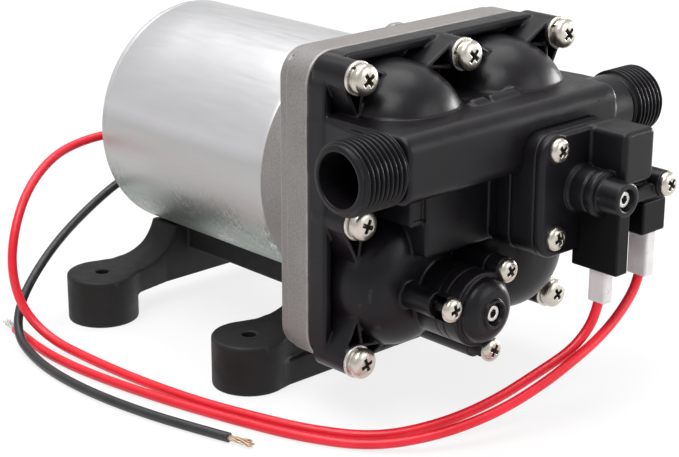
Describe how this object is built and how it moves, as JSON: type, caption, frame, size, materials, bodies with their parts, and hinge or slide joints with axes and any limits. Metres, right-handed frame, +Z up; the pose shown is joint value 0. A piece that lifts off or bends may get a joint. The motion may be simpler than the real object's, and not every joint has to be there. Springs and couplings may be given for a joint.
{
  "type": "caravan water pump",
  "caption": "Compact diaphragm water pump: motor, wobble drive, black head with threaded ports, pressure switch, bypass valve, rubber feet and loose leads.",
  "frame": {"origin": "centre of the rectangle of mounting holes, on the ground plane under the rubber feet", "axes": "+Z up, the motor's axis along Y with the pump head and switch towards -Y, the threaded ports along X"},
  "size_m": [0.1515, 0.1947, 0.1093],
  "materials": {
    "zinc_steel": "smooth zinc plate, soft sheen",
    "die_cast_alloy": "raw die-cast skin, fine speckle",
    "black_plastic": "satin glass-filled nylon",
    "black_rubber": "matte moulded rubber",
    "bearing_steel": "ground steel",
    "core_steel": "stacked laminations",
    "ferrite": "dark sintered ferrite",
    "copper_wire": "enamelled copper",
    "brown_phenolic": "moulded phenolic",
    "carbon": "pressed carbon",
    "spring_steel": "bright spring wire",
    "cast_steel": "sintered steel",
    "white_plastic": "moulded acetal",
    "diaphragm_rubber": "moulded elastomer",
    "screw_steel": "bright nickel plate",
    "socket_steel": "bright steel",
    "brass_fitting": "tinned brass",
    "milky_vinyl": "milky translucent vinyl",
    "red_vinyl": "glossy wire insulation",
    "black_vinyl": "glossy wire insulation",
    "tinned_strands": "tinned copper strands",
    "copper_strands": "bare copper strands"
  },
  "bodies": {
    "root": {"motor_can": "zinc_steel", "motor_end_bell": "zinc_steel", "lead_grommets": "black_rubber", "rear_bearing": "bearing_steel", "front_bearing": "bearing_steel", "drive_housing": "die_cast_alloy", "field_magnets": "ferrite", "brush_holder": "brown_phenolic", "carbon_brushes": "carbon", "brush_springs": "spring_steel", "diaphragm": "diaphragm_rubber", "valve_plate": "white_plastic", "flap_valves": "diaphragm_rubber", "pump_head": "black_plastic", "head_screws": "screw_steel", "flat_washers": "screw_steel", "lock_washers": "screw_steel", "check_valve_guide": "white_plastic", "check_valve_spring": "spring_steel", "bypass_spring": "spring_steel", "bypass_cap": "black_plastic", "bypass_screws": "screw_steel", "switch_plate": "black_plastic", "switch_diaphragm": "diaphragm_rubber", "switch_spring": "spring_steel", "switch_cover": "black_plastic", "microswitch": "black_plastic", "switch_screws": "screw_steel", "spade_tabs": "brass_fitting", "spade_receptacles": "brass_fitting", "spade_sleeves": "milky_vinyl", "mounting_base": "black_rubber", "base_screws": "screw_steel", "red_jumper_lead": "red_vinyl", "red_supply_lead": "red_vinyl", "black_supply_lead": "black_vinyl", "supply_lead_strands": "tinned_strands", "black_lead_strands": "copper_strands"},
    "rotor": {"motor_shaft": "bearing_steel", "armature_core": "core_steel", "armature_windings": "copper_wire", "commutator": "copper_wire", "eccentric_cam": "cast_steel", "cam_bearing_inner_ring": "bearing_steel"},
    "wobble": {"wobble_plate": "white_plastic", "cam_bearing_outer_ring": "bearing_steel", "piston_caps": "white_plastic", "piston_screws": "screw_steel"},
    "outlet_check_poppet": {"check_valve_poppet": "white_plastic"},
    "bypass_poppet_body": {"bypass_poppet": "white_plastic"},
    "bypass_seat_body": {"bypass_spring_seat": "brass_fitting"},
    "bypass_screw_body": {"bypass_adjusting_screw": "socket_steel"},
    "switch_piston_body": {"switch_piston": "white_plastic"},
    "switch_seat_body": {"switch_spring_seat": "brass_fitting"},
    "switch_screw_body": {"switch_adjusting_screw": "socket_steel"}
  },
  "joints": [
    {"name": "rotor_spin", "type": "hinge", "parent": "root", "child": "rotor", "pos_m": [0, 0, 0.0625], "axis": [0, 1, 0], "continuous": true},
    {"name": "wobble_nutation", "type": "hinge", "parent": "rotor", "child": "wobble", "pos_m": [0, -0.05855, 0.0625], "axis": [0, 0.9981, 0.061], "continuous": true, "deforming": ["diaphragm"]},
    {"name": "outlet_check_lift", "type": "slide", "parent": "root", "child": "outlet_check_poppet", "axis": [1, 0, 0], "range_m": [0, 0.003], "stiffness_N_per_m": 150, "springref_m": -0.003, "deforming": ["check_valve_spring"]},
    {"name": "bypass_lift", "type": "slide", "parent": "root", "child": "bypass_poppet_body", "axis": [0, -1, 0], "range_m": [0, 0.002], "stiffness_N_per_m": 800, "springref_m": -0.004, "deforming": ["bypass_spring"]},
    {"name": "bypass_seat_travel", "type": "slide", "parent": "root", "child": "bypass_seat_body", "axis": [0, 1, 0], "range_m": [-0.001, 0.002], "deforming": ["bypass_spring"]},
    {"name": "bypass_screw_turn", "type": "hinge", "parent": "bypass_seat_body", "child": "bypass_screw_body", "pos_m": [-0.0138, -0.107, 0.0355], "axis": [0, 1, 0], "range_deg": [-360, 720]},
    {"name": "switch_piston_travel", "type": "slide", "parent": "root", "child": "switch_piston_body", "axis": [0, -1, 0], "range_m": [0, 0.0012], "stiffness_N_per_m": 800, "springref_m": -0.003, "deforming": ["switch_spring"]},
    {"name": "switch_seat_travel", "type": "slide", "parent": "root", "child": "switch_seat_body", "axis": [0, 1, 0], "range_m": [-0.0008, 0.0016], "deforming": ["switch_spring"]},
    {"name": "switch_screw_turn", "type": "hinge", "parent": "switch_seat_body", "child": "switch_screw_body", "pos_m": [0.0165, -0.128, 0.068], "axis": [0, 1, 0], "range_deg": [-360, 720]}
  ],
  "couplings": [
    {"joint": "wobble_nutation", "follows": "rotor_spin", "ratio": -1},
    {"joint": "bypass_screw_turn", "follows": "bypass_seat_travel", "rad_per_m": 6283.2},
    {"joint": "switch_screw_turn", "follows": "switch_seat_travel", "rad_per_m": 7854}
  ]
}
